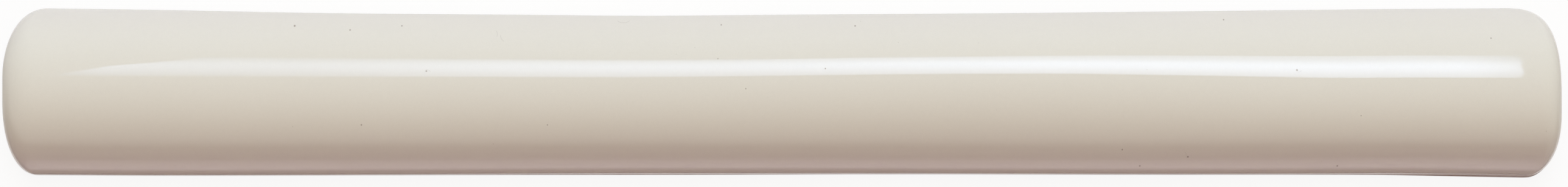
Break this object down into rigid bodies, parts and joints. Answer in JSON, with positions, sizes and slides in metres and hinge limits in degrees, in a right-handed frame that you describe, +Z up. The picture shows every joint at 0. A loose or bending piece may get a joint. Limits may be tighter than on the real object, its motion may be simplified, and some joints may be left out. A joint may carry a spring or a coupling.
{
  "type": "pencil liner tile",
  "caption": "Slim half-round ceramic trim tile with rolled ends, a bone-coloured gloss glaze and a flat keyed back.",
  "frame": {"origin": "bottom centre of the outline, on the flat back that the tile lies on", "axes": "+X along the strip to the picture's right, +Y across it to the picture's top, +Z up out of the half-round face"},
  "size_m": [0.1524, 0.0164, 0.0095],
  "materials": {
    "glaze": "gloss"
  },
  "bodies": {
    "root": {"liner_tile": "glaze"}
  },
  "joints": []
}
